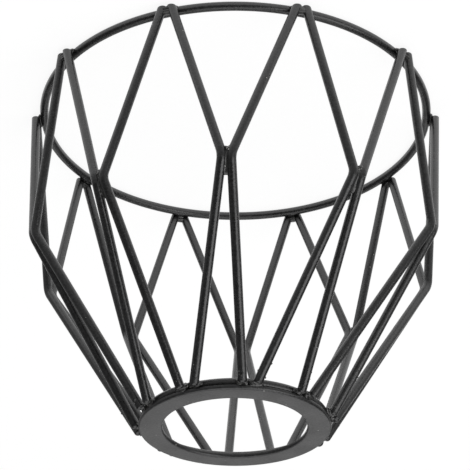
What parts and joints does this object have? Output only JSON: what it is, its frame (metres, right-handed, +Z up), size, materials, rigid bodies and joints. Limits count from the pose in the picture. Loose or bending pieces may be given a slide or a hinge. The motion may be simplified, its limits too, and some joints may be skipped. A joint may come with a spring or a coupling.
{
  "type": "wire cage lampshade",
  "caption": "Open wire cage lampshade of welded black iron: bent rods in pairs run from a rim ring up to a neck ring and a flat washer whose hole fits a lamp holder.",
  "frame": {"origin": "centre of the fitter hole, in the top face of the fitter washer", "axes": "+Z up along the shade's axis as it hangs from a lamp holder, so the open mouth faces -Z; +X towards the middle of the first pair of rods on the rim"},
  "size_m": [0.1292, 0.1266, 0.108],
  "materials": {
    "satin_black_paint": "satin"
  },
  "bodies": {
    "root": {"fitter_washer": "satin_black_paint", "neck_ring": "satin_black_paint", "rim_ring": "satin_black_paint", "rod_01_left": "satin_black_paint", "rod_01_right": "satin_black_paint", "rod_02_left": "satin_black_paint", "rod_02_right": "satin_black_paint", "rod_03_left": "satin_black_paint", "rod_03_right": "satin_black_paint", "rod_04_left": "satin_black_paint", "rod_04_right": "satin_black_paint", "rod_05_left": "satin_black_paint", "rod_05_right": "satin_black_paint", "rod_06_left": "satin_black_paint", "rod_06_right": "satin_black_paint", "rod_07_left": "satin_black_paint", "rod_07_right": "satin_black_paint", "rod_08_left": "satin_black_paint", "rod_08_right": "satin_black_paint", "rod_09_left": "satin_black_paint", "rod_09_right": "satin_black_paint", "rod_10_left": "satin_black_paint", "rod_10_right": "satin_black_paint"}
  },
  "joints": []
}
